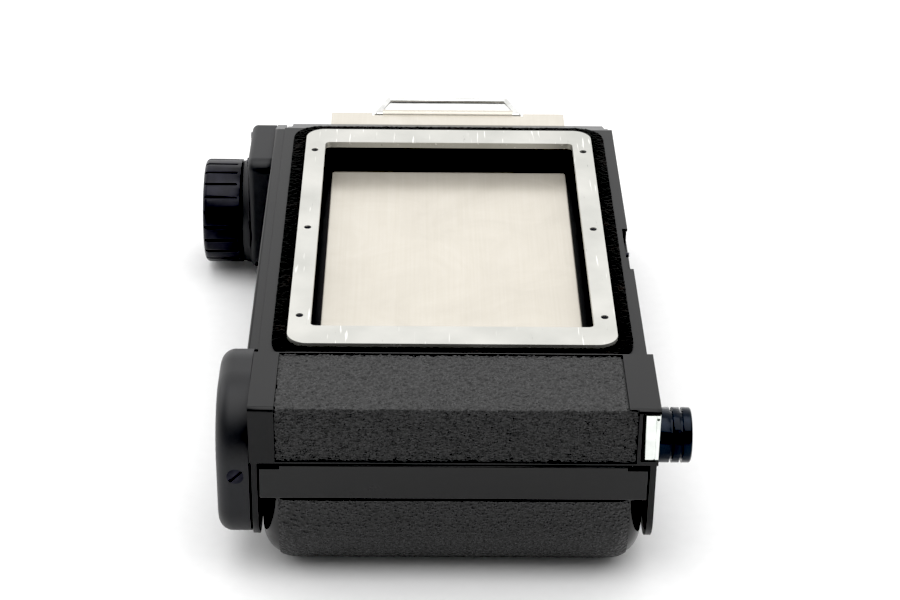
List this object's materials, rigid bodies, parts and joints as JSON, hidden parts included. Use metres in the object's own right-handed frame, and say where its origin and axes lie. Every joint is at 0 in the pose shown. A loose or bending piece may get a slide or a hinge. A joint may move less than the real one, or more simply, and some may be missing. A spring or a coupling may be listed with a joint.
{
  "type": "roll film magazine",
  "caption": "Roll-film magazine for a press-type camera: seating frame, dark slide with wire pull, winding knob, sprung pressure plate and hinged back cover.",
  "frame": {"origin": "centre of the picture gate, on the silver seating face", "axes": "+X across the film towards the supply knob, +Y along the film towards the take-up end where the dark slide leaves, +Z towards the lens"},
  "size_m": [0.1122, 0.1722, 0.0435],
  "materials": {
    "satin_black_enamel": "satin black baked enamel",
    "satin_black_cap": "fine-textured satin black enamel",
    "gloss_black_enamel": "semi-gloss black enamel",
    "matt_black_lacquer": "matt black lacquer",
    "blackened_steel": "chemically blackened steel",
    "bright_steel": "plain bright steel",
    "slide_steel": "ground bright steel sheet",
    "satin_aluminium": "satin anodised aluminium",
    "chrome_wire": "bright chrome plating",
    "chrome_button": "bright chrome plating",
    "bronze": "turned bronze",
    "red_fibre": "red vulcanised fibre",
    "black_pile": "black pile",
    "leatherette": "pebbled black leatherette",
    "knob_black": "gloss black plating",
    "wind_knob_black": "black anodised metal",
    "spool_plastic": "moulded black plastic",
    "clear_window": "clear window"
  },
  "bodies": {
    "magazine_body": {"body_casting": "satin_black_enamel", "left_side_plate": "satin_black_enamel", "right_side_plate": "satin_black_enamel", "side_plate_screws": "blackened_steel", "left_film_plate": "blackened_steel", "right_film_plate": "blackened_steel", "gate_plate": "matt_black_lacquer", "slide_guide": "matt_black_lacquer", "slide_trap_felt": "black_pile", "light_well": "matt_black_lacquer", "mount_frame": "satin_aluminium", "mount_frame_screws": "blackened_steel", "velvet_seal": "black_pile", "chamber_leatherette": "leatherette", "left_end_cap": "satin_black_cap", "end_cap_screws": "blackened_steel", "side_cover": "satin_black_enamel", "wind_housing": "satin_black_cap", "counter_window": "clear_window", "housing_screws": "blackened_steel", "wind_bearing": "bronze", "roller_pins": "bright_steel", "supply_left_stud": "bright_steel", "takeup_right_stud": "bright_steel", "plunger_sleeve": "bronze", "knob_washer": "red_fibre", "plunger_spring": "bright_steel", "counter_pin": "bright_steel", "pawl_pin": "bright_steel", "hinge_pin": "bright_steel", "lip_velvet": "black_pile", "interlock_pin": "blackened_steel", "latch_spring": "bright_steel"},
    "dark_slide_body": {"dark_slide": "slide_steel"},
    "slide_pull_body": {"slide_pull": "chrome_wire"},
    "back_cover_body": {"back_cover": "gloss_black_enamel", "cover_leatherette": "leatherette", "latch_keeper": "blackened_steel", "pressure_carrier": "blackened_steel", "pressure_springs": "bright_steel"},
    "pressure_plate_body": {"pressure_plate": "matt_black_lacquer", "plate_studs": "bright_steel"},
    "latch_body": {"latch_button": "chrome_button", "latch_hook": "blackened_steel"},
    "supply_knob_body": {"supply_knob": "knob_black", "supply_plunger": "bright_steel"},
    "supply_spool_body": {"supply_spool": "spool_plastic"},
    "takeup_spool_body": {"takeup_spool": "spool_plastic"},
    "supply_roller_body": {"supply_roller": "bright_steel"},
    "takeup_roller_body": {"takeup_roller": "bright_steel"},
    "winder_body": {"wind_knob": "wind_knob_black", "wind_shaft": "bright_steel", "wind_knob_screw": "bright_steel", "wind_pinion": "bronze", "wind_ratchet": "bright_steel"},
    "counter_body": {"counter_wheel": "bronze"},
    "pawl_body": {"pawl": "bright_steel"}
  },
  "joints": [
    {"name": "dark_slide_pull_out", "type": "slide", "parent": "magazine_body", "child": "dark_slide_body", "axis": [0, 1, 0], "range_m": [0, 0.108]},
    {"name": "slide_pull_fold", "type": "hinge", "parent": "dark_slide_body", "child": "slide_pull_body", "pos_m": [0, 0.0765, -0.0072], "axis": [1, 0, 0], "range_deg": [0, 80]},
    {"name": "back_cover_hinge", "type": "hinge", "parent": "magazine_body", "child": "back_cover_body", "pos_m": [0, 0.0706, -0.0108], "axis": [1, 0, 0], "range_deg": [0, 95]},
    {"name": "pressure_plate_press", "type": "slide", "parent": "back_cover_body", "child": "pressure_plate_body", "axis": [0, 0, -1], "range_m": [0, 0.0015], "stiffness_N_per_m": 900, "deforming": ["pressure_springs"]},
    {"name": "latch_press", "type": "slide", "parent": "magazine_body", "child": "latch_body", "axis": [0, 1, 0], "range_m": [0, 0.0024], "stiffness_N_per_m": 600, "deforming": ["latch_spring"]},
    {"name": "supply_knob_pull", "type": "slide", "parent": "magazine_body", "child": "supply_knob_body", "axis": [1, 0, 0], "range_m": [0, 0.0045], "stiffness_N_per_m": 500, "deforming": ["plunger_spring"]},
    {"name": "supply_spool_turn", "type": "hinge", "parent": "magazine_body", "child": "supply_spool_body", "pos_m": [0, -0.0694, -0.0118], "axis": [1, 0, 0], "continuous": true},
    {"name": "wind_knob_turn", "type": "hinge", "parent": "magazine_body", "child": "winder_body", "pos_m": [-0.05, 0.0537, -0.024], "axis": [1, 0, 0], "continuous": true},
    {"name": "takeup_spool_turn", "type": "hinge", "parent": "magazine_body", "child": "takeup_spool_body", "pos_m": [0, 0.0537, -0.024], "axis": [1, 0, 0], "continuous": true},
    {"name": "counter_turn", "type": "hinge", "parent": "magazine_body", "child": "counter_body", "pos_m": [-0.047, 0.0569, -0.0161], "axis": [1, 0, 0], "continuous": true},
    {"name": "pawl_swing", "type": "hinge", "parent": "magazine_body", "child": "pawl_body", "pos_m": [-0.045, 0.0471, -0.0303], "axis": [1, 0, 0], "range_deg": [0, 8], "stiffness_Nm_per_rad": 0.02},
    {"name": "supply_roller_turn", "type": "hinge", "parent": "magazine_body", "child": "supply_roller_body", "pos_m": [0, -0.046, -0.0114], "axis": [1, 0, 0], "continuous": true},
    {"name": "takeup_roller_turn", "type": "hinge", "parent": "magazine_body", "child": "takeup_roller_body", "pos_m": [0, 0.046, -0.0114], "axis": [1, 0, 0], "continuous": true}
  ],
  "couplings": [
    {"joint": "takeup_spool_turn", "follows": "wind_knob_turn", "ratio": 1},
    {"joint": "counter_turn", "follows": "wind_knob_turn", "ratio": -0.7}
  ]
}
